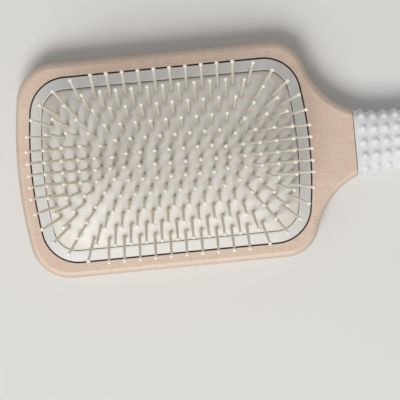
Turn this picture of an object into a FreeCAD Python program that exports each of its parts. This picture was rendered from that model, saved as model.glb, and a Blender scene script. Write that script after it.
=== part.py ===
import FreeCAD, Part
import math
import os
import Sketcher

# Paddle brush: a wooden paddle whose head holds a domed rubber air cushion with ball-tipped pins,
# clamped by a plastic frame, and whose tang carries a silicone grip with nubs.
# Frame: X towards the handle's end, Y across the head, Z from the flat back towards the pins,
# origin on the back face below the middle of the cushion. Millimetres.

SIZES = [
    # wooden paddle
    ("board_thickness", 14.0, "back face to front face of the head"),
    ("recess_length", 112.5, "recess for the cushion, along the handle"),
    ("recess_width", 75.0, "recess for the cushion, across the head"),
    ("recess_corner_radius", 15.0, "corners of the recess"),
    ("recess_bow_radius", 165.0, "shallow bow of the recess's two ends"),
    ("recess_depth", 7.0, "front face down to the recess floor"),
    ("rim_side", 5.8, "wood beside the recess"),
    ("rim_toe", 5.4, "wood beyond the recess at the toe"),
    ("rim_heel", 0.75, "recess end to the end of the heel corners"),
    ("toe_bow_radius", 180.0, "shallow bow of the toe edge"),
    ("toe_corner_radius", 16.0, "corners at the toe"),
    ("heel_corner_radius", 14.0, "corners beside the neck"),
    ("neck_radius", 30.0, "hollow curve from the head into the handle"),
    ("neck_length", 17.0, "heel corners to the front of the grip"),
    ("edge_round", 2.2, "rounded edge of the back"),
    ("edge_bevel", 2.3, "bevelled edge of the front"),
    ("bevel_round", 0.6, "softened edges of the bevel"),
    # grip
    ("grip_length", 108.0, "silicone sleeve, front edge to butt end"),
    ("waist_width", 22.4, "narrowest width of the sleeve"),
    ("swell_width", 24.6, "widest width of the sleeve behind the waist"),
    ("swell_setback", 38.0, "butt end to the widest place"),
    ("grip_thickness", 13.0, "sleeve, bottom to top"),
    ("butt_length", 9.0, "rounded stretch at the butt end"),
    ("sleeve_wall", 1.8, "silicone around the tang"),
    ("sleeve_clearance", 0.1, "tang to sleeve"),
    ("nub_radius", 1.45, "ball that each nub is a part of"),
    ("nub_height", 1.2, "nub above the sleeve"),
    ("nub_pitch", 4.55, "nub to nub along the handle"),
    ("nub_setback", 3.7, "front edge of the sleeve to the first nubs"),
    ("floor_gap", 0.3, "lowest nubs above the plane of the back face"),
    # cushion frame
    ("frame_gap", 0.7, "recess wall to frame, and to the cushion's flange"),
    ("frame_band", 4.5, "sloping band, outer edge to inner edge"),
    ("frame_lip", 0.6, "flat lip at the band's inner edge"),
    ("frame_reveal", 0.2, "band's outer edge above the wood"),
    ("frame_rise", 2.2, "band's inner edge above the wood"),
    # cushion
    ("skirt_clearance", 0.25, "frame to the cushion's upright skirt"),
    ("membrane", 1.6, "thickness of the rubber"),
    ("flange_thickness", 1.5, "clamped edge of the rubber"),
    ("dome_height", 7.5, "crown above the frame's inner edge"),
    # pins
    ("pin_margin_side", 3.9, "frame's inner edge to the outer ring of pins, beside"),
    ("pin_margin_end", 3.85, "frame's inner edge to the outer ring of pins, toe and heel"),
    ("row_pitch", 5.9, "pin to pin in the centre row"),
    ("pin_length", 19.0, "rubber to the top of the ball"),
    ("pin_base_radius", 0.72, "shaft at the rubber"),
    ("pin_neck_radius", 0.47, "shaft at the ball"),
    ("pin_ball_radius", 0.8, "ball tip"),
    ("pin_flange_radius", 1.4, "foot below the rubber"),
    ("pin_flange_thickness", 0.8, "foot below the rubber"),
    ("pin_clearance", 0.2, "hole in the rubber around the shaft, and foot below the rubber"),
    # cuts
    ("overrun", 1.0, "extra depth of a cut past the face where it ends"),
]

RING_COUNT = 6
ROW_PINS = 7
INNER_RING_PINS = 20
PINS_ADDED_PER_RING = 6
NUBS_AROUND = 12
ARC_STEPS = 24
# Corner radius of each ring of pins, as a share of its half width.
RING_CORNER_SHARE = 0.64
# Dome: drop from the crown is the ring number, as a share of the edge's, to this power.
DOME_EDGE_RING_SHARE = 7.0
DOME_POWER_SHARE = 2.8
# Least rubber that the holes of a ring have to remove, as a share of their size on a flat sheet.
DRILLED_SHARE = 0.8
# Pins stand further apart along the long sides than along the short ones.
LONG_SIDE_STRETCH_SHARE = 1.34
# Corners of the grip's section, as a share of its half height.
GRIP_CORNER_SHARE = 0.8
# Stations of the rounded butt end, as shares of its length.
BUTT_SHARES = (0.35, 0.62, 0.82, 0.94, 0.99)

doc = FreeCAD.newDocument("paddle_brush")
sheet = doc.addObject("Spreadsheet::Sheet", "Sizes")
for row, (alias, value, note) in enumerate(SIZES, start=1):
    sheet.set(f"A{row}", note)
    sheet.set(f"B{row}", str(value))
    sheet.setAlias(f"B{row}", alias)
doc.recompute()


def size(alias):
    """The number in the sheet's cell of that name."""
    return float(getattr(sheet, alias))


# Sizes that follow from the sheet, as expressions for the features and as numbers for the curves.
HEAD_HALF_WIDTH = "(Sizes.recess_width / 2 + Sizes.rim_side)"
TOE_LENGTH = "(Sizes.recess_length / 2 + Sizes.rim_toe)"
HEEL_LENGTH = "(Sizes.recess_length / 2 + Sizes.rim_heel)"
GRIP_START = f"({HEEL_LENGTH} + Sizes.neck_length)"
NECK_CENTRE_Y = "(Sizes.waist_width / 2 + Sizes.neck_radius)"
RECESS_FLOOR = "(Sizes.board_thickness - Sizes.recess_depth)"
FRAME_INSET = "(Sizes.frame_gap + Sizes.frame_band)"
CREASE_Z = "(Sizes.board_thickness + Sizes.frame_rise)"


def number(expression):
    return float(sheet.evalExpression(expression))


def new_sketch(body, name, height="0"):
    """A sketch on the body's own horizontal plane, at the height that the expression gives."""
    plane = next(o for o in body.Origin.OriginFeatures if o.Role == "XY_Plane")
    sketch = body.newObject("Sketcher::SketchObject", name)
    sketch.AttachmentSupport = (plane, [""])
    sketch.MapMode = "FlatFace"
    sketch.setExpression("AttachmentOffset.Base.z", height)
    return sketch


def bind(sketch, kind, *arguments, to):
    """A dimension of the sketch that follows the expression."""
    index = sketch.addConstraint(Sketcher.Constraint(kind, *arguments, number(to)))
    sketch.setExpression(f"Constraints[{index}]", to)


def line(x0, y0, x1, y1):
    return Part.LineSegment(FreeCAD.Vector(x0, y0, 0), FreeCAD.Vector(x1, y1, 0))


def arc(x, y, radius, start, end):
    circle = Part.Circle(FreeCAD.Vector(x, y, 0), FreeCAD.Vector(0, 0, 1), radius)
    return Part.ArcOfCircle(circle, start, end)


START, END, CENTRE = 1, 2, 3
ORIGIN = (-1, 1)
X_AXIS, Y_AXIS = -1, -2
QUARTER = math.pi / 2


def corner_place(half_length, half_width, radius, bow):
    """Centre of the arc between a straight side and an end bowed about the X axis, and the end's turn there."""
    y = half_width - radius
    reach = math.sqrt((bow - radius) ** 2 - y ** 2)
    return half_length - bow + reach, y, math.atan2(y, reach)


def recess_outline(sketch, inset):
    """The recess's outline, moved inwards by the expression: straight sides, bowed ends and corner arcs."""
    length = f"(Sizes.recess_length / 2 - {inset})"
    width = f"(Sizes.recess_width / 2 - {inset})"
    radius = f"(Sizes.recess_corner_radius - {inset})"
    bow = f"(Sizes.recess_bow_radius - {inset})"
    r, b = number(radius), number(bow)
    x, y, turn = corner_place(number(length), number(width), r, b)
    bow_x = b - number(length)
    straight = 2 * QUARTER
    sketch.addGeometry([
        line(-x, -y - r, x, -y - r), arc(x, -y, r, 3 * QUARTER, 4 * QUARTER - turn),
        arc(-bow_x, 0, b, -turn, turn), arc(x, y, r, turn, QUARTER),
        line(x, y + r, -x, y + r), arc(-x, y, r, QUARTER, straight - turn),
        arc(bow_x, 0, b, straight - turn, straight + turn), arc(-x, -y, r, straight + turn, 3 * QUARTER),
    ])
    for piece in range(8):
        following = (piece + 1) % 8
        sketch.addConstraint(Sketcher.Constraint("Tangent", piece, END, following, START))
    for piece in (0, 4):
        sketch.addConstraint(Sketcher.Constraint("Horizontal", piece))
    for piece in (2, 6):
        sketch.addConstraint(Sketcher.Constraint("PointOnObject", piece, CENTRE, X_AXIS))
    for piece in (3, 5, 7):
        sketch.addConstraint(Sketcher.Constraint("Equal", 1, piece))
    sketch.addConstraint(Sketcher.Constraint("Equal", 2, 6))
    bind(sketch, "Radius", 1, to=radius)
    bind(sketch, "Radius", 2, to=bow)
    bind(sketch, "DistanceX", 2, CENTRE, *ORIGIN, to=f"{bow} - {length}")
    bind(sketch, "DistanceX", *ORIGIN, 6, CENTRE, to=f"{bow} - {length}")
    bind(sketch, "DistanceY", *ORIGIN, 4, START, to=width)
    bind(sketch, "DistanceY", 0, START, *ORIGIN, to=width)


# Neck: a hollow arc that touches the heel corner and runs level at the waist of the handle.
heel_x = number(HEEL_LENGTH) - size("heel_corner_radius")
heel_y = number(HEAD_HALF_WIDTH) - size("heel_corner_radius")
neck_y = number(NECK_CENTRE_Y)
neck_reach = size("heel_corner_radius") + size("neck_radius")
neck_x = heel_x + math.sqrt(neck_reach ** 2 - (neck_y - heel_y) ** 2)
grip_start = number(GRIP_START)
grip_end = grip_start + size("grip_length")


def neck_half_width(x):
    return neck_y - math.sqrt(size("neck_radius") ** 2 - (neck_x - x) ** 2)


def board_outline(sketch):
    """Head and neck: bowed toe, round corners, straight sides and the hollow neck, symmetric about X."""
    half = number(HEAD_HALF_WIDTH)
    bow, corner = size("toe_bow_radius"), size("toe_corner_radius")
    heel, neck = size("heel_corner_radius"), size("neck_radius")
    toe_x = bow - number(TOE_LENGTH)
    corner_y = half - corner
    corner_x = toe_x - math.sqrt((bow - corner) ** 2 - corner_y ** 2)
    toe_turn = math.atan2(corner_y, toe_x - corner_x)
    neck_turn = math.atan2(neck_y - heel_y, neck_x - heel_x)
    end_y = neck_half_width(grip_start)
    end_turn = math.atan2(neck_y - end_y, neck_x - grip_start)
    straight = 2 * QUARTER
    sketch.addGeometry([
        line(grip_start, -end_y, grip_start, end_y),
        arc(neck_x, neck_y, neck, straight + neck_turn, straight + end_turn),
        arc(heel_x, heel_y, heel, neck_turn, QUARTER),
        line(heel_x, half, corner_x, half),
        arc(corner_x, corner_y, corner, QUARTER, straight - toe_turn),
        arc(toe_x, 0, bow, straight - toe_turn, straight + toe_turn),
        arc(corner_x, -corner_y, corner, straight + toe_turn, 3 * QUARTER),
        line(corner_x, -half, heel_x, -half),
        arc(heel_x, -heel_y, heel, -QUARTER, -neck_turn),
        arc(neck_x, -neck_y, neck, straight - end_turn, straight - neck_turn),
    ])
    sketch.addConstraint(Sketcher.Constraint("Coincident", 0, END, 1, END))
    sketch.addConstraint(Sketcher.Constraint("Tangent", 1, START, 2, START))
    for piece in range(2, 8):
        sketch.addConstraint(Sketcher.Constraint("Tangent", piece, END, piece + 1, START))
    sketch.addConstraint(Sketcher.Constraint("Tangent", 8, END, 9, END))
    sketch.addConstraint(Sketcher.Constraint("Coincident", 9, START, 0, START))
    sketch.addConstraint(Sketcher.Constraint("Vertical", 0))
    sketch.addConstraint(Sketcher.Constraint("Horizontal", 3))
    sketch.addConstraint(Sketcher.Constraint("Horizontal", 7))
    sketch.addConstraint(Sketcher.Constraint("PointOnObject", 5, CENTRE, X_AXIS))
    for upper, lower in ((1, 9), (2, 8), (4, 6)):
        sketch.addConstraint(Sketcher.Constraint("Equal", upper, lower))
    bind(sketch, "Radius", 1, to="Sizes.neck_radius")
    bind(sketch, "Radius", 2, to="Sizes.heel_corner_radius")
    bind(sketch, "Radius", 4, to="Sizes.toe_corner_radius")
    bind(sketch, "Radius", 5, to="Sizes.toe_bow_radius")
    bind(sketch, "DistanceX", *ORIGIN, 5, CENTRE, to=f"Sizes.toe_bow_radius - {TOE_LENGTH}")
    bind(sketch, "DistanceY", *ORIGIN, 3, START, to=HEAD_HALF_WIDTH)
    bind(sketch, "DistanceY", 7, START, *ORIGIN, to=HEAD_HALF_WIDTH)
    for piece in (2, 8):
        bind(sketch, "DistanceX", *ORIGIN, piece, CENTRE, to=f"{HEEL_LENGTH} - Sizes.heel_corner_radius")
    bind(sketch, "DistanceY", *ORIGIN, 1, CENTRE, to=NECK_CENTRE_Y)
    bind(sketch, "DistanceY", 9, CENTRE, *ORIGIN, to=NECK_CENTRE_Y)
    bind(sketch, "DistanceX", *ORIGIN, 0, START, to=GRIP_START)


def rim_edges(feature, height):
    """Names of the feature's level edges at a height, apart from the one against the grip."""
    near = size("bevel_round") / 2
    names = []
    for index, edge in enumerate(feature.Shape.Edges, start=1):
        box = edge.BoundBox
        level = abs(box.ZMin - height) < near and abs(box.ZMax - height) < near
        at_grip = box.XMin > grip_start - near and box.XLength < near
        if level and not at_grip:
            names.append(f"Edge{index}")
    return names


def make_board():
    """Head and neck of the paddle: a board with a round back rim, a bevelled front rim and the recess."""
    body = doc.addObject("PartDesign::Body", "board")
    outline = new_sketch(body, "board_outline")
    board_outline(outline)
    board = body.newObject("PartDesign::Pad", "board_pad")
    board.Profile = outline
    board.setExpression("Length", "Sizes.board_thickness")
    doc.recompute()
    front = size("board_thickness")
    steps = [board]
    for kind, name, heights, target, alias in (
        ("Fillet", "back_rim", [0], "Radius", "edge_round"),
        ("Chamfer", "front_bevel", [front], "Size", "edge_bevel"),
        ("Fillet", "bevel_edges", [front, front - size("edge_bevel")], "Radius", "bevel_round"),
    ):
        names = [edge for height in heights for edge in rim_edges(steps[-1], height)]
        dressing = body.newObject(f"PartDesign::{kind}", name)
        dressing.Base = (steps[-1], names)
        dressing.setExpression(target, f"Sizes.{alias}")
        doc.recompute()
        steps.append(dressing)
    mouth = new_sketch(body, "recess_outline", "Sizes.board_thickness")
    recess_outline(mouth, "0")
    recess = body.newObject("PartDesign::Pocket", "recess")
    recess.Profile = mouth
    recess.setExpression("Length", "Sizes.recess_depth")
    doc.recompute()
    steps.append(recess)
    if not all(after.Shape.Volume < before.Shape.Volume for before, after in zip(steps, steps[1:])):
        raise RuntimeError("the recess, the bevel or a rounded edge removed no wood")
    return body


def make_cushion_frame():
    """Plastic ring in the recess: an upright outer wall, a sloping band and a flat inner lip."""
    body = doc.addObject("PartDesign::Body", "cushion_frame")
    levels = (
        ("foot", "Sizes.frame_gap", f"{RECESS_FLOOR} + Sizes.flange_thickness"),
        ("outer_edge", "Sizes.frame_gap", "Sizes.board_thickness + Sizes.frame_reveal"),
        ("lip_edge", f"({FRAME_INSET} - Sizes.frame_lip)", CREASE_Z),
    )
    sketches = []
    for name, inset, height in levels:
        sketch = new_sketch(body, f"frame_{name}", height)
        recess_outline(sketch, inset)
        sketches.append(sketch)
    doc.recompute()
    block = body.newObject("PartDesign::AdditiveLoft", "frame_block")
    block.Profile = sketches[0]
    block.Sections = sketches[1:]
    block.Ruled = True
    doc.recompute()
    window = new_sketch(body, "frame_window", CREASE_Z)
    recess_outline(window, FRAME_INSET)
    opening = body.newObject("PartDesign::Pocket", "frame_opening")
    opening.Profile = window
    opening.Type = "ThroughAll"
    doc.recompute()
    if not opening.Shape.Volume < block.Shape.Volume:
        raise RuntimeError("the frame has no opening")
    return body


def add_piece(label, shape):
    """A sub-part whose shape is made from curves, at the origin."""
    piece = doc.addObject("Part::Feature", label)
    piece.Shape = shape
    piece.Placement = FreeCAD.Placement()
    return piece


# Grip: rounded sections along the handle, from the neck's end to the rounded butt.
grip_middle_z = size("floor_gap") + size("nub_height") + size("grip_thickness") / 2
grip_half_height = size("grip_thickness") / 2
grip_corner = GRIP_CORNER_SHARE * grip_half_height
butt_start = grip_end - size("butt_length")
# Turns a level outline upright: its length runs across the handle, its width upwards.
UPRIGHT = FreeCAD.Rotation(FreeCAD.Vector(1, 1, 1), 120)


def grip_half_width(x):
    """Neck curve up to the waist, then an even swell to the widest place, then constant."""
    waist, swell = size("waist_width") / 2, size("swell_width") / 2
    if x <= neck_x:
        return neck_half_width(x)
    travel = min((x - neck_x) / (grip_end - size("swell_setback") - neck_x), 1)
    return waist + (swell - waist) * travel ** 2 * (3 - 2 * travel)


def outline_wire(half_length, half_width, radius, height=0, bow=0):
    """A level outline of straight sides, four corner arcs and two ends, straight or bowed by that radius."""
    x, y, turn = half_length - radius, half_width - radius, 0
    if bow:
        x, y, turn = corner_place(half_length, half_width, radius, bow)
    straight = 2 * QUARTER
    corners = [
        arc(x, -y, radius, -QUARTER, -turn), arc(x, y, radius, turn, QUARTER),
        arc(-x, y, radius, QUARTER, straight - turn), arc(-x, -y, radius, straight + turn, 3 * QUARTER),
    ]
    edges = []
    for corner, following, end in zip(corners, corners[1:] + corners[:1], (half_length, 0, -half_length, 0)):
        side = Part.LineSegment(corner.EndPoint, following.StartPoint)
        if bow and end:
            side = Part.Arc(corner.EndPoint, FreeCAD.Vector(end, 0, 0), following.StartPoint)
        edges += [corner.toShape(), side.toShape()]
    wire = Part.Wire(edges)
    wire.translate(FreeCAD.Vector(0, 0, height))
    return wire


def recess_wire(inset, height):
    """The recess's outline, moved inwards, as a level wire."""
    half_length, half_width = size("recess_length") / 2 - inset, size("recess_width") / 2 - inset
    radius, bow = size("recess_corner_radius") - inset, size("recess_bow_radius") - inset
    return outline_wire(half_length, half_width, radius, height, bow)


def spaced_around(half_length, half_width, radius, count, stretch=1):
    """Points (x, y, angle of the outward normal) at equal steps around a rounded rectangle, from its
    +X end. Steps are measured with x divided by the stretch."""
    path = [(half_length, 0, 0)]
    for quarter, (sx, sy) in enumerate(((1, 1), (-1, 1), (-1, -1), (1, -1))):
        for step in range(ARC_STEPS + 1):
            angle = QUARTER * (quarter + step / ARC_STEPS)
            x = sx * (half_length - radius) + radius * math.cos(angle)
            y = sy * (half_width - radius) + radius * math.sin(angle)
            path.append((x, y, angle))
    path.append((half_length, 0, 4 * QUARTER))
    runs = [0]
    for before, after in zip(path, path[1:]):
        runs.append(runs[-1] + math.hypot((after[0] - before[0]) / stretch, after[1] - before[1]))
    points = []
    for target in (runs[-1] * i / count for i in range(count)):
        after = next(i for i, run in enumerate(runs) if run > target)
        share = (target - runs[after - 1]) / (runs[after] - runs[after - 1])
        points.append([p + (q - p) * share for p, q in zip(path[after - 1], path[after])])
    return points


def section(x, inset=0, shrink=1):
    """Upright section of the grip at a place along the handle, moved inwards or shrunk."""
    outline = (grip_half_width(x), grip_half_height, grip_corner)
    wire = outline_wire(*(value * shrink - inset for value in outline))
    wire.Placement = FreeCAD.Placement(FreeCAD.Vector(x, 0, grip_middle_z), UPRIGHT)
    return wire


def grip_stations():
    """Places of the nub columns, and of the sections halfway between them and along the butt."""
    first = grip_start + size("nub_setback")
    count = int((butt_start - first) / size("nub_pitch")) + 1
    columns = [first + i * size("nub_pitch") for i in range(count)]
    between = [x - size("nub_pitch") / 2 for x in columns[1:]]
    return columns, [grip_start] + between + [butt_start]


def grip_solid(inset, start, butt):
    """The grip's outer form, moved inwards: lofted along its stations, with or without its round butt."""
    _, stations = grip_stations()
    wires = [section(x, inset) for x in [start] + stations[1:]]
    for share in BUTT_SHARES if butt else ():
        wires.append(section(butt_start + share * size("butt_length"), 0, math.sqrt(1 - share ** 2)))
    return Part.makeLoft(wires, True, True)


def make_paddle_body(board):
    """The board with the tang that fills the grip."""
    tang = add_piece("tang", grip_solid(size("sleeve_wall") + size("sleeve_clearance"), grip_start, False))
    paddle = doc.addObject("Part::Fuse", "paddle_body")
    paddle.Base = board
    paddle.Tool = tang
    # The tang's level strips stay separate faces, because merging them fails at some other sizes.
    paddle.Refine = False
    return paddle


def make_grip_sleeve():
    """Silicone sleeve: the grip's outer form with rows of nubs, hollowed for the tang."""
    columns, _ = grip_stations()
    sink = size("nub_radius") - size("nub_height")
    nubs = []
    for x in columns:
        outline = (grip_half_width(x), grip_half_height, grip_corner)
        for across, up, angle in spaced_around(*outline, NUBS_AROUND):
            out = FreeCAD.Vector(0, math.cos(angle), math.sin(angle))
            surface = FreeCAD.Vector(x, across, grip_middle_z + up)
            nubs.append(Part.makeSphere(size("nub_radius"), surface - out * sink))
    bore = grip_solid(size("sleeve_wall"), grip_start - size("overrun"), False)
    return add_piece("grip_sleeve", grip_solid(0, grip_start, True).fuse(nubs).cut(bore))


# Cushion: level outlines of the dome, numbered so that ring n of pins lies between n - 1/2 and n + 1/2.
crease_length = size("recess_length") / 2 - number(FRAME_INSET)
crease_width = size("recess_width") / 2 - number(FRAME_INSET)
crease_z = number(CREASE_Z)
recess_floor = number(RECESS_FLOOR)
row_half = size("row_pitch") * (ROW_PINS - 1) / 2
ring_step_x = (crease_length - size("pin_margin_end") - row_half) / RING_COUNT
ring_step_y = (crease_width - size("pin_margin_side")) / RING_COUNT


def level(ring):
    """Half length, half width, corner radius and height of the dome at a ring number."""
    half_width = ring * ring_step_y
    drop = (ring / DOME_EDGE_RING_SHARE) ** DOME_POWER_SHARE
    height = crease_z + size("dome_height") * (1 - drop)
    return row_half + ring * ring_step_x, half_width, RING_CORNER_SHARE * half_width, height


def ring_pins(ring):
    """Foot point and direction of each pin of a ring, square to the dome."""
    outer, inner = level(ring + 0.5), level(ring - 0.5)
    step_x, step_y, step_r = (outer[i] - inner[i] for i in range(3))
    height, rise = (outer[3] + inner[3]) / 2, inner[3] - outer[3]
    count = INNER_RING_PINS + PINS_ADDED_PER_RING * (ring - 1)
    pins = []
    for x, y, angle in spaced_around(*level(ring)[:3], count, LONG_SIDE_STRETCH_SHARE):
        east, north = math.cos(angle), math.sin(angle)
        step = (step_x - step_r) * abs(east) + (step_y - step_r) * abs(north) + step_r
        direction = FreeCAD.Vector(rise * east, rise * north, step)
        direction.normalize()
        pins.append((FreeCAD.Vector(x, y, height), direction))
    return pins


def row_pins():
    """Foot point and direction of each pin of the centre row, on the flat top of the dome."""
    height = level(0.5)[3]
    feet = [FreeCAD.Vector(i * size("row_pitch") - row_half, 0, height) for i in range(ROW_PINS)]
    return [(foot, FreeCAD.Vector(0, 0, 1)) for foot in feet]


def side_of(foot, ring):
    """Toe and heel for a ring's straight short sides, left and right for the rest of it."""
    _, width, radius, _ = level(ring)
    if abs(foot.y) <= width - radius:
        return "heel" if foot.x > 0 else "toe"
    return "left" if foot.y > 0 else "right"


def make_pin_pattern():
    """One pin standing on the origin: foot below the rubber, tapered shaft and ball tip, revolved."""
    body = doc.addObject("PartDesign::Body", "pin_pattern")
    plane = next(o for o in body.Origin.OriginFeatures if o.Role == "XZ_Plane")
    sketch = body.newObject("Sketcher::SketchObject", "pin_profile")
    sketch.AttachmentSupport = (plane, [""])
    sketch.MapMode = "FlatFace"
    top = size("pin_length")
    ball, neck, base = size("pin_ball_radius"), size("pin_neck_radius"), size("pin_base_radius")
    foot_top = -size("membrane") - size("pin_clearance")
    foot_bottom = foot_top - size("pin_flange_thickness")
    foot = size("pin_flange_radius")
    ball_z = top - ball
    turn = math.acos(neck / ball)
    join_z = ball_z - ball * math.sin(turn)
    sketch.addGeometry([
        line(0, foot_bottom, foot, foot_bottom), line(foot, foot_bottom, foot, foot_top),
        line(foot, foot_top, base, foot_top), line(base, foot_top, neck, join_z),
        arc(0, ball_z, ball, -turn, QUARTER), line(0, top, 0, foot_bottom),
    ])
    for piece in range(6):
        sketch.addConstraint(Sketcher.Constraint("Coincident", piece, END, (piece + 1) % 6, START))
    for piece in (0, 2):
        sketch.addConstraint(Sketcher.Constraint("Horizontal", piece))
    sketch.addConstraint(Sketcher.Constraint("Vertical", 1))
    for piece, place in ((5, START), (5, END), (4, CENTRE)):
        sketch.addConstraint(Sketcher.Constraint("PointOnObject", piece, place, Y_AXIS))
    bind(sketch, "Radius", 4, to="Sizes.pin_ball_radius")
    bind(sketch, "DistanceX", *ORIGIN, 1, START, to="Sizes.pin_flange_radius")
    bind(sketch, "DistanceX", *ORIGIN, 3, START, to="Sizes.pin_base_radius")
    bind(sketch, "DistanceX", *ORIGIN, 3, END, to="Sizes.pin_neck_radius")
    bind(sketch, "DistanceY", *ORIGIN, 5, START, to="Sizes.pin_length")
    bind(sketch, "DistanceY", 2, END, *ORIGIN, to="Sizes.membrane + Sizes.pin_clearance")
    bind(sketch, "DistanceY", 0, END, 1, END, to="Sizes.pin_flange_thickness")
    doc.recompute()
    turned = body.newObject("PartDesign::Revolution", "pin_turned")
    turned.Profile = sketch
    turned.ReferenceAxis = (sketch, ["V_Axis"])
    turned.Angle = 360
    doc.recompute()
    return body


def standing(shape, foot, direction):
    """A copy of a shape that stands on the origin, moved to the foot point along the direction."""
    copy = shape.copy()
    copy.Placement = FreeCAD.Placement(foot, FreeCAD.Rotation(FreeCAD.Vector(0, 0, 1), direction))
    return copy


def make_pins(pattern):
    """The pins, as one node per side of each ring and one for the centre row."""
    groups = {"pins_centre_row": row_pins()}
    for ring in range(RING_COUNT, 0, -1):
        for foot, direction in ring_pins(ring):
            label = f"pins_ring{RING_COUNT + 1 - ring}_{side_of(foot, ring)}"
            groups.setdefault(label, []).append((foot, direction))
    pieces = []
    for label, pins in groups.items():
        solids = [standing(pattern.Shape, foot, direction) for foot, direction in pins]
        pieces.append(add_piece(label, Part.makeCompound(solids)))
    return pieces


def make_cushion_pad():
    """Rubber: a flange on the recess floor, an upright skirt and the dome, hollow, with a hole per pin."""
    levels = [level(ring + 0.5) for ring in range(RING_COUNT, -1, -1)]
    gap, wall = size("skirt_clearance"), size("membrane")
    skirt = number(FRAME_INSET) + gap
    inside = skirt + wall
    outer = [recess_wire(skirt, recess_floor), recess_wire(skirt, crease_z - gap)]
    outer += [outline_wire(*outline) for outline in levels]
    slope = (levels[1][3] - levels[0][3]) / (levels[0][0] - levels[1][0])
    shoulder = levels[0][3] - wall + slope * (levels[0][0] - size("recess_length") / 2 + inside)
    hollow = [recess_wire(inside, recess_floor - size("overrun")), recess_wire(inside, shoulder)]
    hollow += [outline_wire(*outline[:3], outline[3] - wall) for outline in levels[1:]]
    flange_top = recess_floor + size("flange_thickness")
    plate = [recess_wire(size("frame_gap"), height) for height in (recess_floor, flange_top)]
    solid = Part.makeLoft(outer, True, True).fuse(Part.makeLoft(plate, True, True))
    solid = solid.cut(Part.makeLoft(hollow, True, True))
    reach = wall + size("overrun")
    hole_radius = size("pin_base_radius") + size("pin_clearance")
    drill = Part.makeCylinder(hole_radius, 2 * reach, FreeCAD.Vector(0, 0, -reach))
    for pins in [row_pins()] + [ring_pins(ring) for ring in range(1, RING_COUNT + 1)]:
        drilled = solid.cut([standing(drill, foot, direction) for foot, direction in pins])
        least = DRILLED_SHARE * len(pins) * math.pi * hole_radius ** 2 * wall
        if solid.Volume - drilled.Volume < least:
            raise RuntimeError("a pin has no hole in the rubber")
        solid = drilled
    return add_piece("cushion_pad", solid)


nodes = [
    make_paddle_body(make_board()),
    make_cushion_frame(),
    make_cushion_pad(),
    make_grip_sleeve(),
]
nodes += make_pins(make_pin_pattern())
doc.recompute()

for item in doc.Objects:
    if "Invalid" in item.State or "Error" in item.State:
        raise RuntimeError(f"{item.Label} did not build: {item.State}")
for node in nodes:
    if node.Shape.isNull() or not node.Shape.isValid():
        raise RuntimeError(f"{node.Label} has no valid shape")

os.makedirs("parts", exist_ok=True)
for node in nodes:
    node.Shape.exportStep(f"parts/{node.Label}.step")
    print(node.Label, len(node.Shape.Solids), "solids", round(node.Shape.Volume, 1), "mm3")
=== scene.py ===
import math

import bmesh
import bpy
import numpy as np
from mathutils import Matrix, Vector


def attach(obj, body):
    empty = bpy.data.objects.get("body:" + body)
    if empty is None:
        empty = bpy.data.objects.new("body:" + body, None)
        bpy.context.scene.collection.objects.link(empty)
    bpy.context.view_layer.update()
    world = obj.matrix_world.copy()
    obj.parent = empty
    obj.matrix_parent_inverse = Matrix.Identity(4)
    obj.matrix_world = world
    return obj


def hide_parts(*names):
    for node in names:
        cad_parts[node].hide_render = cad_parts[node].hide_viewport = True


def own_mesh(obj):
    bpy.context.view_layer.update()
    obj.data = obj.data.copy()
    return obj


# A paddle brush: beech paddle, plastic cushion frame, rubber air cushion, nylon pins and silicone grip.
# X runs to the handle's end, Y across the head, Z from the back to the pins. Sizes here are millimetres.

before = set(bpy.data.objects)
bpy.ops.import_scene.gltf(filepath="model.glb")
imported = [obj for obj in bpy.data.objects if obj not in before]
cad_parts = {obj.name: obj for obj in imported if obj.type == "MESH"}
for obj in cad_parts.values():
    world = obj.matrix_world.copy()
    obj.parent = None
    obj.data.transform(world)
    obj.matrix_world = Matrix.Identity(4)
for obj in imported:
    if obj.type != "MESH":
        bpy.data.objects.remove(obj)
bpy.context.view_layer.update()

MM = 0.001
QUARTER = math.pi / 2
# Points nearer than this are one point.
MERGE_DISTANCE = 0.002

# Paddle
BOARD_THICKNESS = 14.0

# Cushion, frame and rings of pins
RECESS_HALF_LENGTH = 56.25
RECESS_HALF_WIDTH = 37.5
RECESS_CORNER = 15.0
RECESS_BOW = 165.0
FRAME_GAP = 0.7
FRAME_BAND = 4.5
CREASE_INSET = FRAME_GAP + FRAME_BAND
CREASE_HEIGHT = 16.2
SKIRT_CLEARANCE = 0.25
SKIRT_INSET = CREASE_INSET + SKIRT_CLEARANCE
MEMBRANE = 1.6
DOME_HEIGHT = 7.5
DOME_POWER = 2.8
EDGE_RING = 7.0
OUTER_RING = 6
LAST_LEVEL = 6.5
ROW_PITCH = 5.9
ROW_PINS = 7
ROW_HALF = ROW_PITCH * (ROW_PINS - 1) / 2
END_MARGIN = 3.85
SIDE_MARGIN = 3.9
RING_STEP_X = (RECESS_HALF_LENGTH - CREASE_INSET - END_MARGIN - ROW_HALF) / OUTER_RING
RING_STEP_Y = (RECESS_HALF_WIDTH - CREASE_INSET - SIDE_MARGIN) / OUTER_RING
RING_CORNER_SHARE = 0.64
LONG_SIDE_STRETCH = 1.34
INNER_RING_PINS = 20
PINS_ADDED_PER_RING = 6
SKIRT_DROP = 0.25
SKIRT_TOP = 14.0
SKIRT_BOTTOM = 12.0
FLANGE_TOP = 8.5
RECESS_FLOOR = 7.0
# Slope of the dome's turned-down edge where it starts, as a share of its mean slope.
TURN_SLOPE = 0.34
# Dimples in the rubber at the pins, and reach and strength of the painted shade on the rubber and the
# pins.
DIMPLE_DEPTH = 0.35
DIMPLE_RADIUS = 1.3
SHADE_RADIUS = 1.6
EDGE_SHADE = 0.8
PIN_BALL_SHARE = 0.93
PIN_SHADE_POWER = 0.3
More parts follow.
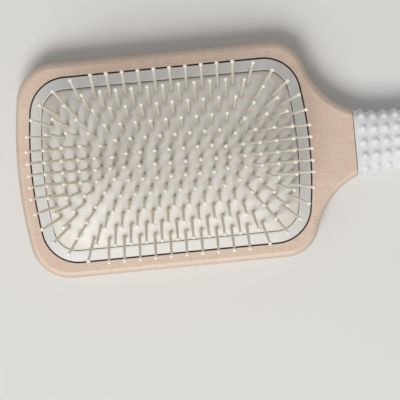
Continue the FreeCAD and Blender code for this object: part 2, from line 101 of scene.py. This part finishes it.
# Steps along the short sides, long sides and corners of meshes and rings, and numbers of levels.
DOME_STEPS = (44, 140, 54)
FLANGE_STEPS = (12, 6, 12)
RING_STEPS = (2, 1, 24)
DOME_LEVELS = 76
TURN_LEVELS = 9
UNDERSIDE_LEVELS = 14

# Grip
COLLAR_START = 74.3
GRIP_END = 181.9
NECK_X = 85.37
NECK_Y = 41.2
NECK_RADIUS = 30.0
WAIST = 11.2
SWELL = 12.3
SWELL_X = 144.0
GRIP_HALF_HEIGHT = 6.5
GRIP_CORNER = 5.2
GRIP_MIDDLE = 8.0
SLEEVE_WALL = 1.8
BUTT_LENGTH = 8.9
BUTT_START = GRIP_END - BUTT_LENGTH
NUB_RADIUS = 1.45
NUB_SINK = 0.25
NUB_PITCH = 4.55
FIRST_NUB = 77.7
NUB_COLUMNS = 21
NUBS_AROUND = 12
NUB_SECTORS = 16
# Angles from a nub's top to the rings on its ball, in degrees, and the width of its root.
NUB_RINGS = (0, 36, 70)
NUB_ROOT = 0.16
# The collar's front edge: distances behind it, and how far the sleeve is drawn in there.
COLLAR_LIP = [(1.0, 0), (0.9, -0.01), (0.75, -0.05), (0.4, -0.06), (0.15, -0.03), (0.04, 0.06), (0, 0.2)]
BORE_LEVELS = 16
BUTT_LEVELS = 14
# A section shrunk to this share is closed to a point, and a corner radius is never nought.
POINT_SHARE = 1e-4
LEAST_CORNER = 1e-9


def display_colour(red, green, blue):
    """A colour as a screen shows it, 0 to 255, turned into the linear light that shaders work with."""
    values = np.array([red, green, blue]) / 255
    linear = np.where(values <= 0.04045, values / 12.92, ((values + 0.055) / 1.055) ** 2.4)
    return (*linear.tolist(), 1.0)


# Shapes as arrays

def stations_around(short_steps, long_steps, corner_steps):
    """Stations counter-clockwise around a rounded rectangle from the start of its +X side. Each has the
    shares, -1 to 1, of its place along the straight sides, and the angle of the outward normal."""
    corners = ((1, 1), (-1, 1), (-1, -1), (1, -1))
    shares_x, shares_y, angles = [], [], []
    for quarter, (end_x, end_y) in enumerate(corners):
        start_x, start_y = corners[quarter - 1]
        steps = long_steps if quarter % 2 else short_steps
        along = np.arange(steps) / steps
        turn = np.arange(corner_steps) / corner_steps
        shares_x += [start_x + (end_x - start_x) * along, np.full(corner_steps, end_x)]
        shares_y += [start_y + (end_y - start_y) * along, np.full(corner_steps, end_y)]
        angles += [np.full(steps, quarter * QUARTER), QUARTER * (quarter + turn)]
    return np.concatenate(shares_x), np.concatenate(shares_y), np.concatenate(angles)


def rounded(stations, half_length, half_width, radius, curve=0.0):
    """Points of an outline with straight sides, round corners and two ends of that curvature. The line
    through the corners' centres is straight beside and an arc at the ends, which sags by the half chord
    times the tangent of half its lean. A point lies one corner radius outwards from that line."""
    share_x, share_y, angle = stations
    chord = np.abs(share_y) * (half_width - radius)
    lean = np.arcsin(chord * curve / (1 - curve * radius))
    turned = np.arctan2(np.abs(np.sin(angle)), np.abs(np.cos(angle)))
    normal = lean + turned * (1 - lean / QUARTER)
    straight = half_length - radius - chord * np.tan(lean / 2)
    x = share_x * straight + np.sign(share_x) * radius * np.cos(normal)
    y = share_y * (half_width - radius) + np.sign(share_y) * radius * np.sin(normal)
    return x, y


def stacked(stations, levels):
    """A grid of points, one row per level, each level an outline at its height."""
    *outline, height = (np.array(part)[:, None] for part in zip(*levels))
    x, y = rounded(stations, *outline)
    return np.stack([x, y, np.broadcast_to(height, x.shape)], axis=-1)


def grid_faces(rows, columns, closes=False):
    """Quads between neighbouring rows of a grid whose rows run all the way round. With closes, the last
    row joins the first."""
    row = np.arange(rows if closes else rows - 1)[:, None]
    column = np.arange(columns)[None, :]
    after_row, after_column = (row + 1) % rows, (column + 1) % columns
    corners = [row * columns + column, row * columns + after_column,
               after_row * columns + after_column, after_row * columns + column]
    return np.stack(corners, axis=-1).reshape(-1, 4)


def new_piece(name, points, faces, material):
    """An object from points in millimetres and faces, with doubles merged and smooth outward faces."""
    mesh = bpy.data.meshes.new(name)
    mesh.from_pydata((points.reshape(-1, 3) * MM).tolist(), [], [list(face) for face in faces])
    shape = bmesh.new()
    shape.from_mesh(mesh)
    bmesh.ops.remove_doubles(shape, verts=shape.verts, dist=MERGE_DISTANCE * MM)
    bmesh.ops.dissolve_degenerate(shape, edges=shape.edges, dist=MERGE_DISTANCE * MM)
    bmesh.ops.recalc_face_normals(shape, faces=shape.faces)
    shape.to_mesh(mesh)
    shape.free()
    mesh.polygons.foreach_set("use_smooth", np.ones(len(mesh.polygons), dtype=bool))
    mesh.materials.append(material)
    piece = bpy.data.objects.new(name, mesh)
    bpy.context.scene.collection.objects.link(piece)
    return piece


# Air cushion

def recess_level(inset, height):
    """The recess's outline, moved inwards: half length, half width, corner radius and curvature of the
    ends, and its height."""
    outline = (RECESS_HALF_LENGTH - inset, RECESS_HALF_WIDTH - inset, RECESS_CORNER - inset)
    return *outline, 1 / (RECESS_BOW - inset), height


def dome_level(ring):
    """The dome's outline, with straight ends, and its height at a ring number. The outline grows evenly
    with the number, and the drop from the crown is its share of the edge's number, to a power."""
    half_width = ring * RING_STEP_Y
    height = CREASE_HEIGHT + DOME_HEIGHT * (1 - (ring / EDGE_RING) ** DOME_POWER)
    return ROW_HALF + ring * RING_STEP_X, half_width, RING_CORNER_SHARE * half_width, 0.0, height


def ring_feet(ring):
    """Feet of a ring's pins: equal steps around the ring from the middle of its +X side, measured with x
    divided by the stretch."""
    x, y = rounded(stations_around(*RING_STEPS), *dome_level(ring)[:4])
    x, y = (np.append(part[1:], part[:2]) for part in (x, y))
    steps = np.hypot(np.diff(x) / LONG_SIDE_STRETCH, np.diff(y))
    runs = np.concatenate([[0], np.cumsum(steps)])
    count = INNER_RING_PINS + PINS_ADDED_PER_RING * (ring - 1)
    targets = runs[-1] * np.arange(count) / count
    return np.stack([np.interp(targets, runs, x), np.interp(targets, runs, y)], axis=-1)


def pin_feet():
    """Feet of all the pins on the dome, seen from above."""
    row = np.stack([np.arange(ROW_PINS) * ROW_PITCH - ROW_HALF, np.zeros(ROW_PINS)], axis=-1)
    return np.concatenate([row] + [ring_feet(ring) for ring in range(1, OUTER_RING + 1)])


def foot_bell(points, radius):
    """A bell curve of each point's distance, seen from above, to the nearest pin's foot."""
    gaps = np.full(points.shape[:-1], np.inf)
    for x, y in pin_feet():
        gaps = np.minimum(gaps, np.hypot(points[..., 0] - x, points[..., 1] - y))
    return np.exp(-(gaps / radius) ** 2)


def dimpled(points):
    """The dome's points, lowered around each pin."""
    sunk = points.copy()
    sunk[..., 2] -= DIMPLE_DEPTH * foot_bell(points, DIMPLE_RADIUS)
    return sunk


def vertex_places(piece):
    """Places of a piece's vertices, in millimetres."""
    places = np.empty(3 * len(piece.data.vertices))
    piece.data.vertices.foreach_get("co", places)
    return places.reshape(-1, 3) / MM


def store_shade(piece, values):
    """Stores a number on each vertex, for the painted shade in the piece's material."""
    marks = piece.data.attributes.new("shade", "FLOAT", "POINT")
    marks.data.foreach_set("value", values)


def shade_dome(dome):
    """Paints shade on the rubber by the greater of two bell curves: of the distance to the nearest pin's
    foot, and of the height above the frame's inner edge."""
    places = vertex_places(dome)
    edge = EDGE_SHADE * np.exp(-((places[:, 2] - CREASE_HEIGHT) / SHADE_RADIUS) ** 2)
    store_shade(dome, np.maximum(foot_bell(places, SHADE_RADIUS), edge))


def shade_pins(node):
    """Paints shade on a node's pins, which stand at about the same height, by the share of the way down
    from the ball's neck to the foot, to a low power."""
    height = vertex_places(node)[:, 2]
    share = (height - height.min()) / np.ptp(height)
    store_shade(node, np.clip(1 - share / PIN_BALL_SHARE, 0, 1) ** PIN_SHADE_POWER)


def make_cushion_dome(material):
    """The rubber dome: levels from the crown to the last one, a turned-down edge into the frame, a short
    skirt, and the same levels lower by the rubber's thickness as its underside."""
    stations = stations_around(*DOME_STEPS)
    last = np.array(dome_level(LAST_LEVEL))
    edge = np.array(recess_level(SKIRT_INSET, CREASE_HEIGHT - SKIRT_DROP))
    top = [dome_level(ring) for ring in np.linspace(0, LAST_LEVEL, DOME_LEVELS)]
    turn = []
    for share in np.linspace(0, 1, TURN_LEVELS)[1:]:
        level = last + (edge - last) * share
        sunk = TURN_SLOPE * share + (1 - TURN_SLOPE) * share ** 2
        level[-1] = last[-1] + (edge[-1] - last[-1]) * sunk
        turn.append(tuple(level))
    skirt = [recess_level(SKIRT_INSET, height) for height in (SKIRT_TOP, SKIRT_BOTTOM)]
    ceiling = last[-1] - MEMBRANE
    wall = [recess_level(SKIRT_INSET + MEMBRANE, height) for height in (SKIRT_BOTTOM, SKIRT_TOP, ceiling)]
    below = [dome_level(ring) for ring in np.linspace(LAST_LEVEL - 1, 0, UNDERSIDE_LEVELS)]
    below = [(*level[:4], level[4] - MEMBRANE) for level in below]
    outer = dimpled(stacked(stations, top))
    rest = stacked(stations, turn + skirt + wall + below)
    points = np.concatenate([outer, rest])
    dome = new_piece("cushion_dome", points, grid_faces(*points.shape[:2]), material)
    shade_dome(dome)
    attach(dome, "paddle")
    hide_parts("cushion_pad")
    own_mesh(dome)


def make_cushion_flange(material):
    """The clamped edge of the rubber: an upright skirt on a flat flange, as one closed profile carried
    around the recess."""
    inside = SKIRT_INSET + MEMBRANE
    profile = [(SKIRT_INSET, SKIRT_BOTTOM), (SKIRT_INSET, FLANGE_TOP), (FRAME_GAP, FLANGE_TOP),
               (FRAME_GAP, RECESS_FLOOR), (inside, RECESS_FLOOR), (inside, SKIRT_BOTTOM)]
    points = stacked(stations_around(*FLANGE_STEPS), [recess_level(*corner) for corner in profile])
    flange = new_piece("cushion_flange", points, grid_faces(*points.shape[:2], closes=True), material)
    flange.data.polygons.foreach_set("use_smooth", np.zeros(len(flange.data.polygons), dtype=bool))
    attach(flange, "paddle")


# Grip sleeve

def grip_half_width(x):
    """Half width along the handle: the neck's hollow arc as far as the waist, then a smooth step to the
    swell, then constant."""
    before = np.minimum(x, NECK_X)
    neck = NECK_Y - np.sqrt(NECK_RADIUS ** 2 - (NECK_X - before) ** 2)
    travel = np.clip((x - NECK_X) / (SWELL_X - NECK_X), 0, 1)
    return neck + (SWELL - WAIST) * travel ** 2 * (3 - 2 * travel)


def grip_surface(x, share, inset=0, shrink=1):
    """Points and outward normals of the grip at places along it and shares of the way round its section,
    a rounded rectangle folded into one quarter: up the side, round the corner and along the top."""
    width = grip_half_width(x) * shrink - inset
    height = GRIP_HALF_HEIGHT * shrink - inset
    corner = GRIP_CORNER * shrink - inset
    side, bend, top = height - corner, corner * QUARTER, width - corner
    quarter = side + bend + top
    run = (share % 1) * 4 * quarter
    part = np.floor(run / quarter)
    run = run - part * quarter
    run = np.where(part % 2 == 1, quarter - run, run)
    angle = np.clip((run - side) / np.maximum(corner, LEAST_CORNER), 0, QUARTER)
    across = top + corner * np.cos(angle) - np.clip(run - side - bend, 0, None)
    up = np.clip(run, 0, side) + corner * np.sin(angle)
    sign_y = np.where((part == 1) | (part == 2), -1, 1)
    sign_z = np.where(part >= 2, -1, 1)
    points = np.stack(np.broadcast_arrays(x, sign_y * across, GRIP_MIDDLE + sign_z * up), axis=-1)
    normals = np.stack(np.broadcast_arrays(0 * x, sign_y * np.cos(angle), sign_z * np.sin(angle)), axis=-1)
    return points, normals


def grip_perimeter(x):
    """Length around the grip's section at a place along the handle."""
    straight = grip_half_width(x) + GRIP_HALF_HEIGHT - 2 * GRIP_CORNER
    return 4 * straight + 4 * QUARTER * GRIP_CORNER


def nub_field():
    """Square cells of the sleeve, each with a nub: rings on the nub's ball, a ring on the sleeve at its
    root, and the cell's square border, for all columns and places around at once."""
    column = (FIRST_NUB + NUB_PITCH * np.arange(NUB_COLUMNS))[:, None, None, None]
    place = (np.arange(NUBS_AROUND) / NUBS_AROUND)[None, :, None, None]
    sector = (2 * math.pi * np.arange(NUB_SECTORS) / NUB_SECTORS)[None, None, None, :]
    polar = np.radians(NUB_RINGS)[None, None, :, None]
    root, normal = grip_surface(column, place)
    around = np.stack([0 * normal[..., 0], -normal[..., 2], normal[..., 1]], axis=-1)
    along = np.array([1.0, 0, 0])
    cosine, sine = np.cos(sector)[..., None], np.sin(sector)[..., None]
    ball = root - NUB_SINK * normal + NUB_RADIUS * (
        np.sin(polar)[..., None] * (cosine * along + sine * around) + np.cos(polar)[..., None] * normal)
    reach = NUB_RADIUS + NUB_ROOT
    foot, _ = grip_surface(column + reach * np.cos(sector),
                           place + reach * np.sin(sector) / grip_perimeter(column))
    square = np.maximum(np.abs(np.cos(sector)), np.abs(np.sin(sector)))
    border, _ = grip_surface(column + NUB_PITCH / 2 * np.cos(sector) / square,
                             place + np.sin(sector) / square / (2 * NUBS_AROUND))
    shape = (NUB_COLUMNS, NUBS_AROUND, 1, NUB_SECTORS, 3)
    cells = np.concatenate([ball, np.broadcast_to(foot, shape), np.broadcast_to(border, shape)], axis=2)
    rings = cells.shape[2]
    count = NUB_COLUMNS * NUBS_AROUND
    faces = grid_faces(rings, NUB_SECTORS)[None] + (np.arange(count) * rings * NUB_SECTORS)[:, None, None]
    return cells.reshape(-1, 3), faces.reshape(-1, 4)


def make_grip_sleeve(material):
    """The silicone sleeve: the field of nubs, a plain collar and front edge, the bore around the tang,
    and the round butt, whose sections shrink as a quarter of an ellipse."""
    sector = 2 * math.pi * np.arange(-NUB_SECTORS // 8, NUB_SECTORS // 8) / NUB_SECTORS
    share = ((np.arange(NUBS_AROUND)[:, None] + np.tan(sector)[None] / 2) / NUBS_AROUND).reshape(1, -1)
    field_start = FIRST_NUB - NUB_PITCH / 2
    field_end = FIRST_NUB + NUB_PITCH * (NUB_COLUMNS - 0.5)
    collar = [(field_start, 0)] + [(COLLAR_START + step, inset) for step, inset in COLLAR_LIP]
    collar += [(x, SLEEVE_WALL) for x in np.linspace(COLLAR_START, BUTT_START, BORE_LEVELS)]
    place, inset = (np.array(part)[:, None] for part in zip(*collar))
    front, _ = grip_surface(place, share, inset)
    plug, _ = grip_surface(np.array([[BUTT_START]]), share, 0, POINT_SHARE)
    front = np.concatenate([front, plug])
    turn = np.linspace(0, QUARTER, BUTT_LEVELS)[:, None]
    butt_x = np.concatenate([[[field_end]], BUTT_START + BUTT_LENGTH * np.sin(turn)])
    butt_shrink = np.concatenate([[[1.0]], np.maximum(np.cos(turn), POINT_SHARE)])
    butt, _ = grip_surface(butt_x, share, 0, butt_shrink)
    points, faces = nub_field()
    for grid in (front, butt):
        faces = np.concatenate([faces, grid_faces(*grid.shape[:2]) + len(points)])
        points = np.concatenate([points, grid.reshape(-1, 3)])
    sleeve = new_piece("grip_sleeve_moulding", points, faces, material)
    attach(sleeve, "paddle")
    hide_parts("grip_sleeve")


# Materials

RELIEF_STRENGTH = 0.6


def linked(tree, kind, links=(), **values):
    """A node of a kind with values set on its inputs and other sockets linked to its inputs."""
    node = tree.nodes.new(kind)
    for name, value in values.items():
        node.inputs[name.replace("_", " ")].default_value = value
    for name, socket in links:
        tree.links.new(socket, node.inputs[name])
    return node


def noise(tree, stretch, detail=2.0, rough=0.5, bend=0.0):
    """Cloudy noise on the piece's own coordinates, with so many cells per metre along each axis."""
    place = tree.nodes.new("ShaderNodeTexCoord").outputs["Object"]
    mapped = linked(tree, "ShaderNodeMapping", [("Vector", place)], Scale=stretch)
    cloud = linked(tree, "ShaderNodeTexNoise", [("Vector", mapped.outputs["Vector"])],
                   Scale=1.0, Detail=detail, Roughness=rough, Distortion=bend)
    return cloud.outputs["Fac"]


def ramp(tree, factor, stops):
    """Colours read along a value from 0 to 1."""
    node = linked(tree, "ShaderNodeValToRGB", [("Fac", factor)])
    elements = node.color_ramp.elements
    while len(elements) < len(stops):
        elements.new(0.5)
    for element, (position, colour) in zip(elements, stops):
        element.position = position
        element.color = colour
    return node.outputs["Color"]


def between(tree, factor, low, high):
    """A number between two limits, as a noise's value goes from a quarter to three quarters."""
    node = linked(tree, "ShaderNodeMapRange", [("Value", factor)],
                  From_Min=0.25, From_Max=0.75, To_Min=low, To_Max=high)
    return node.outputs["Result"]


def multiplied(tree, colour, tint):
    """A node that multiplies a colour by a tint, and the socket of the product."""
    node = tree.nodes.new("ShaderNodeMix")
    node.data_type = "RGBA"
    node.blend_type = "MULTIPLY"
    first, second = (socket for socket in node.inputs if socket.type == "RGBA")
    tree.links.new(colour, first)
    if isinstance(tint, tuple):
        second.default_value = tint
    else:
        tree.links.new(tint, second)
    return node, next(socket for socket in node.outputs if socket.type == "RGBA")


def darkened(tree, colour, factor, tint):
    """A colour multiplied by a tint where the factor is high."""
    node, product = multiplied(tree, colour, tint)
    tree.links.new(factor, node.inputs["Factor"])
    return product


def shaded(tree, colour, tint):
    """A colour multiplied by a tint as far as the painted shade stored on the piece goes."""
    shade = tree.nodes.new("ShaderNodeAttribute")
    shade.attribute_name = "shade"
    return darkened(tree, colour, shade.outputs["Fac"], tint)


def tinted_by_height(tree, colour, stops):
    """A colour multiplied by a tint that follows the height above the back face, in millimetres."""
    place = tree.nodes.new("ShaderNodeTexCoord").outputs["Object"]
    axes = linked(tree, "ShaderNodeSeparateXYZ", [("Vector", place)])
    share = linked(tree, "ShaderNodeMapRange", [("Value", axes.outputs["Z"])],
                   From_Min=0.0, From_Max=BOARD_THICKNESS * MM, To_Min=0.0, To_Max=1.0)
    shares = [(height / BOARD_THICKNESS, tint) for height, tint in stops]
    node, product = multiplied(tree, colour, ramp(tree, share.outputs["Result"], shares))
    node.inputs["Factor"].default_value = 1.0
    return product


def finish_material(name, colour, rough, relief, depth, **sockets):
    """A principled material whose colour, roughness and relief, of that depth in millimetres, come from
    functions that build their nodes."""
    material = bpy.data.materials.new(name)
    material.use_nodes = True
    tree = material.node_tree
    shader = tree.nodes["Principled BSDF"]
    tree.links.new(colour(tree), shader.inputs["Base Color"])
    tree.links.new(rough(tree), shader.inputs["Roughness"])
    bump = linked(tree, "ShaderNodeBump", [("Height", relief(tree))],
                  Strength=RELIEF_STRENGTH, Distance=depth * MM)
    tree.links.new(bump.outputs["Normal"], shader.inputs["Normal"])
    for socket, value in sockets.items():
        shader.inputs[socket.replace("_", " ")].default_value = value
    return material


def beech_colour(tree):
    """Pale pinkish beech: wide soft bands along the grain, narrow streaks and short dark flecks, painted
    shade that makes the sides and lower bevel darker and greyer, and a painted highlight that makes the
    upper half of the bevel palest and least pink."""
    bands = ramp(tree, noise(tree, (7, 75, 75), 3.0, 0.55, 0.4), [
        (0.30, display_colour(235, 216, 197)),
        (0.50, display_colour(239, 223, 206)),
        (0.72, display_colour(242, 228, 213)),
    ])
    streaks = between(tree, noise(tree, (28, 800, 800), 3.0, 0.6), 0.0, 0.55)
    streaked = darkened(tree, bands, streaks, display_colour(244, 237, 231))
    flecks = linked(tree, "ShaderNodeMapRange", [("Value", noise(tree, (800, 3400, 3400), 1.0, 0.4))],
                    From_Min=0.58, From_Max=0.68, To_Min=0.0, To_Max=0.32)
    flecked = darkened(tree, streaked, flecks.outputs["Result"], display_colour(206, 176, 150))
    # The side tint is painted shade on the sides and lower bevel, and the crease tint a painted highlight
    # on the upper bevel.
    tints = ((237, 227, 224), (222, 218, 215), (246, 243, 240))
    face, side, crease_highlight = (display_colour(*tint) for tint in tints)
    return tinted_by_height(tree, flecked, [
        (0.0, face), (0.2, side), (12.3, side), (13.2, crease_highlight), (13.92, crease_highlight), (13.99, face)])


beech = finish_material(
    "pale_beech", beech_colour,
    lambda tree: between(tree, noise(tree, (40, 900, 900), 2.0), 0.42, 0.58),
    lambda tree: noise(tree, (120, 3000, 3000), 2.0), 0.08,
    Coat_Weight=0.12, Coat_Roughness=0.35)

frame_plastic = finish_material(
    "satin_grey_plastic",
    lambda tree: ramp(tree, noise(tree, (60, 60, 60), 3.0), [
        (0.3, display_colour(216, 214, 210)), (0.7, display_colour(221, 219, 215))]),
    lambda tree: between(tree, noise(tree, (500, 500, 500), 2.0), 0.30, 0.42),
    lambda tree: noise(tree, (2500, 2500, 2500), 1.0), 0.02,
    Specular_IOR_Level=0.9)


def rubber_colour(tree):
    """Pale cloudy rubber, with painted warm shade around the pins' feet and along the frame."""
    pale = ramp(tree, noise(tree, (45, 45, 45), 4.0, 0.6), [
        (0.3, display_colour(228, 227, 223)), (0.7, display_colour(235, 234, 231))])
    # The tan tint is painted shade around the pins' feet and along the frame's inner edge.
    return shaded(tree, pale, display_colour(240, 231, 216))


cushion_rubber = finish_material(
    "pale_rubber", rubber_colour,
    lambda tree: between(tree, noise(tree, (300, 300, 300), 2.0), 0.42, 0.58),
    lambda tree: noise(tree, (1800, 1800, 1800), 2.0), 0.03,
    Subsurface_Weight=0.08, Subsurface_Scale=0.001)

sleeve_silicone = finish_material(
    "white_silicone",
    lambda tree: ramp(tree, noise(tree, (70, 70, 70), 4.0, 0.6), [
        (0.3, display_colour(226, 228, 229)), (0.7, display_colour(231, 233, 234))]),
    lambda tree: between(tree, noise(tree, (260, 260, 260), 3.0), 0.42, 0.6),
    lambda tree: noise(tree, (2200, 2200, 2200), 2.0), 0.03,
    Subsurface_Weight=0.6, Subsurface_Scale=0.003, Subsurface_Radius=(1.0, 0.9, 0.8))


def nylon_colour(tree):
    """Cream nylon, with painted shade down the shafts, deepest at the foot."""
    cream = ramp(tree, noise(tree, (160, 160, 160), 3.0), [
        (0.3, display_colour(241, 234, 219)), (0.7, display_colour(245, 240, 228))])
    # The grey tint is painted shade down the shafts.
    return shaded(tree, cream, display_colour(232, 231, 231))


pin_nylon = finish_material(
    "cream_nylon", nylon_colour,
    lambda tree: between(tree, noise(tree, (400, 400, 400), 2.0), 0.25, 0.38),
    lambda tree: noise(tree, (1500, 1500, 1500), 1.0), 0.01,
    Subsurface_Weight=0.5, Subsurface_Scale=0.0015, Subsurface_Radius=(1.0, 0.85, 0.65))


def dress(name, material):
    """Gives a node of the frame one material."""
    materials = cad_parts[name].data.materials
    materials.clear()
    materials.append(material)


dress("paddle_body", beech)
dress("cushion_frame", frame_plastic)
dress("cushion_pad", cushion_rubber)
dress("grip_sleeve", sleeve_silicone)
for node_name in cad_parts:
    if node_name.startswith("pins_"):
        dress(node_name, pin_nylon)
        shade_pins(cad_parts[node_name])

make_cushion_dome(cushion_rubber)
make_cushion_flange(cushion_rubber)
make_grip_sleeve(sleeve_silicone)


# Camera, light and floor

FRAME_PIXELS = 400
FOCAL_PIXELS = 1465
SENSOR_WIDTH = 36.0
# The brush as the lens sees it: turns about X, Y and Z in degrees, and its place.
BRUSH_TURNS = {"X": 2.91, "Y": 0.60, "Z": 5.56}
BRUSH_PLACE = (-11.76, 16.47, -600.0)
# Point that the lamps face, in metres.
LAMP_AIM = (0.02, 0, 0.015)


def make_camera():
    """The photograph's view: the brush turned about Z, then Y, then X, and moved in front of the lens."""
    turned = Matrix.Identity(3)
    for axis, degrees in BRUSH_TURNS.items():
        turned = turned @ Matrix.Rotation(math.radians(degrees), 3, axis)
    offset = Vector(BRUSH_PLACE) * MM
    lens = bpy.data.cameras.new("camera")
    lens.sensor_width = SENSOR_WIDTH
    lens.lens = SENSOR_WIDTH * FOCAL_PIXELS / FRAME_PIXELS
    lens.clip_start = 0.05
    lens.clip_end = 20.0
    camera = bpy.data.objects.new("camera", lens)
    bpy.context.scene.collection.objects.link(camera)
    back = turned.transposed()
    camera.matrix_world = Matrix.Translation(back @ -offset) @ back.to_4x4()
    bpy.context.scene.camera = camera


def make_light(name, place, width, height, power, colour):
    """A soft rectangular lamp, in metres and watts, that faces the middle of the head."""
    lamp = bpy.data.lights.new(name, "AREA")
    lamp.shape = "RECTANGLE"
    lamp.size = width
    lamp.size_y = height
    lamp.energy = power
    lamp.color = colour
    light = bpy.data.objects.new(name, lamp)
    bpy.context.scene.collection.objects.link(light)
    light.location = place
    light.rotation_euler = (Vector(LAMP_AIM) - Vector(place)).to_track_quat("-Z", "Y").to_euler()


def make_world(level, seen):
    """Even light from all round, and a pale backdrop where the camera, a reflection or a see-through ray
    looks past the floor."""
    world = bpy.data.worlds.new("world")
    world.use_nodes = True
    tree = world.node_tree
    tree.nodes.clear()
    path = tree.nodes.new("ShaderNodeLightPath")
    looked = path.outputs["Is Camera Ray"]
    for kind in ("Glossy", "Transmission"):
        either = tree.nodes.new("ShaderNodeMath")
        either.operation = "MAXIMUM"
        tree.links.new(looked, either.inputs[0])
        tree.links.new(path.outputs[f"Is {kind} Ray"], either.inputs[1])
        looked = either.outputs[0]
    light = linked(tree, "ShaderNodeBackground", Color=(1, 1, 1, 1), Strength=level)
    backdrop = linked(tree, "ShaderNodeBackground", Color=(1, 1, 1, 1), Strength=seen)
    mixed = tree.nodes.new("ShaderNodeMixShader")
    tree.links.new(looked, mixed.inputs[0])
    tree.links.new(light.outputs[0], mixed.inputs[1])
    tree.links.new(backdrop.outputs[0], mixed.inputs[2])
    output = tree.nodes.new("ShaderNodeOutputWorld")
    tree.links.new(mixed.outputs[0], output.inputs["Surface"])
    bpy.context.scene.world = world


def make_floor():
    """A wide pale floor just below the brush."""
    reach, drop = 6000.0, -0.1
    corners = np.array([(-1, -1, 0), (1, -1, 0), (1, 1, 0), (-1, 1, 0)]) * reach + (0, 0, drop)
    pale = finish_material(
        "pale_floor",
        lambda tree: ramp(tree, noise(tree, (3, 3, 3), 2.0), [
            (0.3, display_colour(228, 227, 225)), (0.7, display_colour(231, 230, 228))]),
        lambda tree: between(tree, noise(tree, (20, 20, 20)), 0.75, 0.85),
        lambda tree: noise(tree, (200, 200, 200)), 0.01)
    floor = new_piece("floor", corners, np.array([[0, 1, 2, 3]]), pale)


make_camera()
make_world(0.26, 0.75)
make_light("key", (-0.50, -1.22, 1.75), 1.1, 1.1, 36.0, (1.0, 0.99, 0.975))
make_light("fill", (0.20, 1.60, 1.20), 1.5, 1.5, 3.4, (1.0, 1.0, 1.0))
make_floor()

bpy.context.scene.view_settings.view_transform = "Standard"
